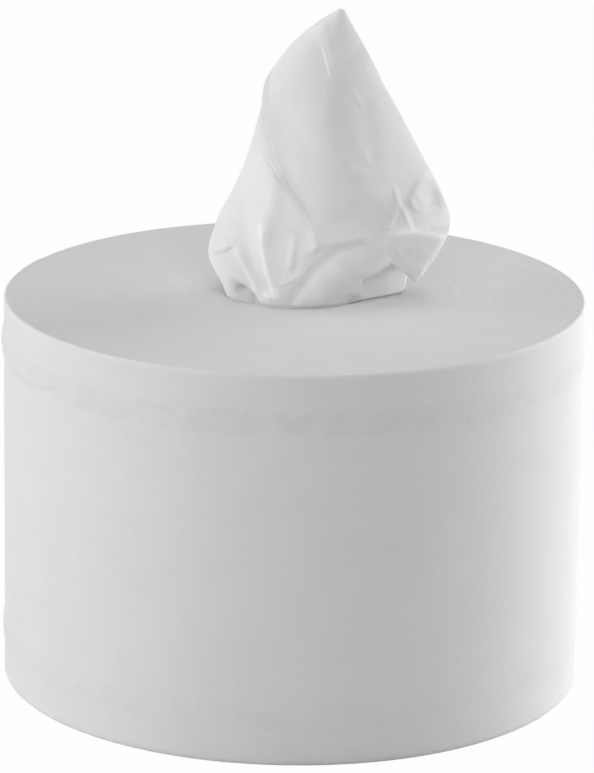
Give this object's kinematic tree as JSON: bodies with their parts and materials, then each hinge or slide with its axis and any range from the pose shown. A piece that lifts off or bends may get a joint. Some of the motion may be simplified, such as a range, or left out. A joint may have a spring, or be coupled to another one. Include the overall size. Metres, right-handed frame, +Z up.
{
  "type": "centerfeed toilet paper roll",
  "caption": "Coreless two-ply paper roll with a hollow middle, its first sheet drawn up out of the hole as a creased cone.",
  "frame": {"origin": "on the roll's axis, on the face that it stands on", "axes": "+Z up along the roll's axis towards the tip of the drawn-out sheet, +X to the right and +Y away from the camera"},
  "size_m": [0.2004, 0.2, 0.2352],
  "materials": {
    "wound_paper": "matte",
    "sheet_paper": "matte"
  },
  "bodies": {
    "root": {"wound_roll": "wound_paper", "pulled_sheet": "sheet_paper"}
  },
  "joints": []
}
